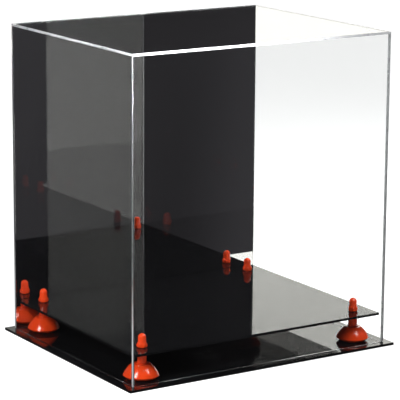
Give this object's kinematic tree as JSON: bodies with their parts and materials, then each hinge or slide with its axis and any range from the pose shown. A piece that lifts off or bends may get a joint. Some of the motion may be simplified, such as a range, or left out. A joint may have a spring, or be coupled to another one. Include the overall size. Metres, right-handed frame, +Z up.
{
  "type": "helmet display case",
  "caption": "Clear lift-off display case with a mirror back on a black base plate, with a black shelf raised on orange bell-shaped risers and held by domed cap nuts.",
  "frame": {"origin": "middle of the base plate's underside, which is the middle of the bottom of the bounding box", "axes": "+Z up, -Y towards the clear front, +Y towards the mirror back, +X to the right seen from the front"},
  "size_m": [0.363, 0.296, 0.373],
  "materials": {
    "black_acrylic": "polished",
    "clear_acrylic": "polished",
    "mirror_acrylic": "polished",
    "riser_orange": "gloss",
    "screw_steel": "satin"
  },
  "bodies": {
    "base": {"base_plate": "black_acrylic", "shelf": "black_acrylic", "riser_bell_front_left": "riser_orange", "riser_sleeve_front_left": "riser_orange", "riser_screw_front_left": "screw_steel", "riser_bell_front_right": "riser_orange", "riser_sleeve_front_right": "riser_orange", "riser_screw_front_right": "screw_steel", "riser_bell_back_left": "riser_orange", "riser_sleeve_back_left": "riser_orange", "riser_screw_back_left": "screw_steel", "riser_bell_back_right": "riser_orange", "riser_sleeve_back_right": "riser_orange", "riser_screw_back_right": "screw_steel"},
    "cover": {"cover_top": "clear_acrylic", "cover_front": "clear_acrylic", "cover_left": "clear_acrylic", "cover_right": "clear_acrylic", "mirror_back": "mirror_acrylic"},
    "nut_front_left": {"cap_nut_front_left": "riser_orange"},
    "nut_front_right": {"cap_nut_front_right": "riser_orange"},
    "nut_back_left": {"cap_nut_back_left": "riser_orange"},
    "nut_back_right": {"cap_nut_back_right": "riser_orange"}
  },
  "joints": [
    {"name": "cover_lift", "type": "slide", "parent": "base", "child": "cover", "axis": [0, 0, 1], "range_m": [0, 0.38]},
    {"name": "nut_turn_front_left", "type": "hinge", "parent": "base", "child": "nut_front_left", "pos_m": [-0.1457, -0.1122, 0.0387], "axis": [0, 0, 1], "continuous": true},
    {"name": "nut_turn_front_right", "type": "hinge", "parent": "base", "child": "nut_front_right", "pos_m": [0.1457, -0.1122, 0.0387], "axis": [0, 0, 1], "continuous": true},
    {"name": "nut_turn_back_left", "type": "hinge", "parent": "base", "child": "nut_back_left", "pos_m": [-0.1457, 0.1122, 0.0387], "axis": [0, 0, 1], "continuous": true},
    {"name": "nut_turn_back_right", "type": "hinge", "parent": "base", "child": "nut_back_right", "pos_m": [0.1457, 0.1122, 0.0387], "axis": [0, 0, 1], "continuous": true}
  ]
}
